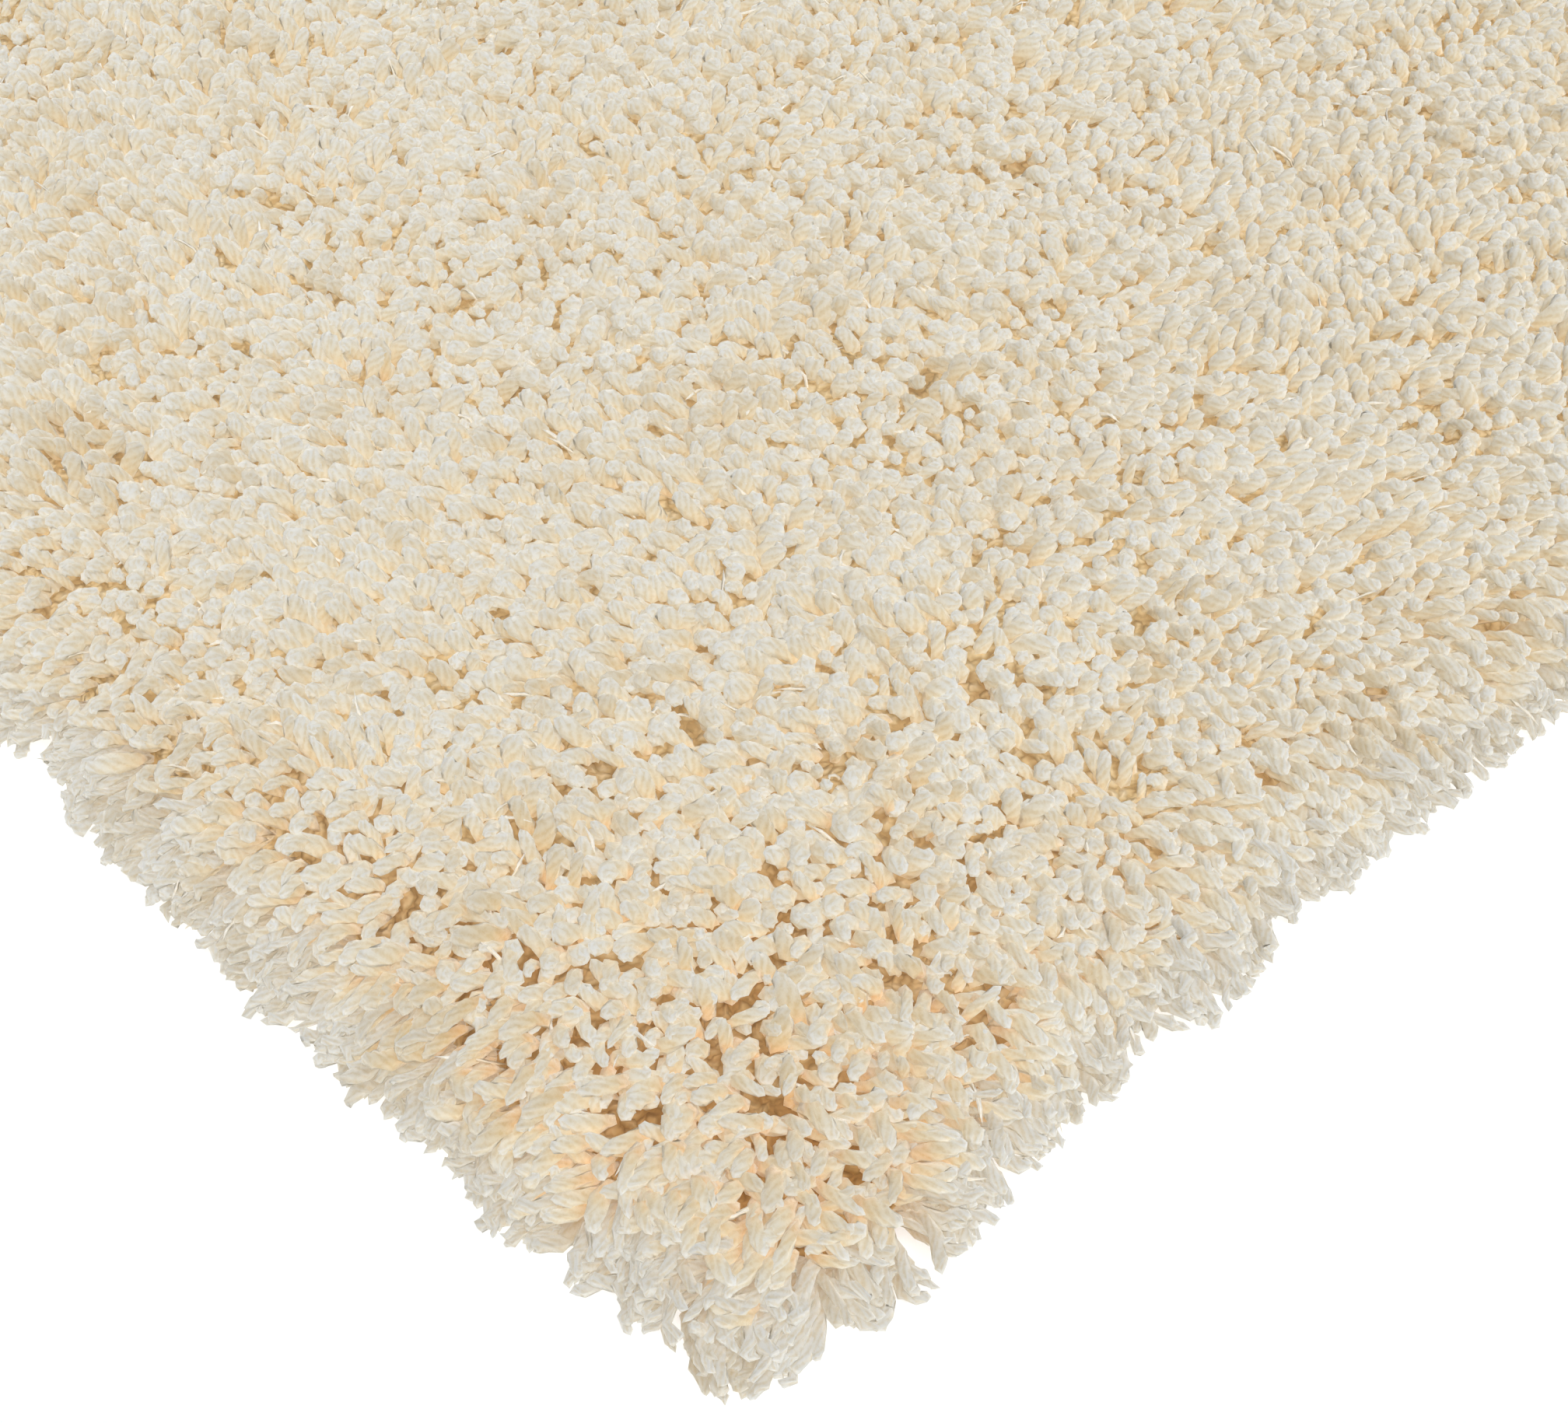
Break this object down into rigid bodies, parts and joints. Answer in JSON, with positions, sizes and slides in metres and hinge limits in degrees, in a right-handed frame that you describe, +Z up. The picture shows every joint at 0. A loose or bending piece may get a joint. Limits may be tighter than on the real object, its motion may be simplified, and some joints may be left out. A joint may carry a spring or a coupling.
{
  "type": "shag rug",
  "caption": "Cut length of cream shag rug: thick lumpy pile that lies flat, with soft locks spilling over its rim onto the floor.",
  "frame": {"origin": "centre of the underside, on the floor", "axes": "+Z up through the pile; +X and -Y along the two rims that meet at the corner in the picture"},
  "size_m": [1, 1, 0.0548],
  "materials": {
    "pile": "matte cream heat-set yarn with a few thin glossy threads"
  },
  "bodies": {
    "root": {"shag_rug": "pile"}
  },
  "joints": []
}
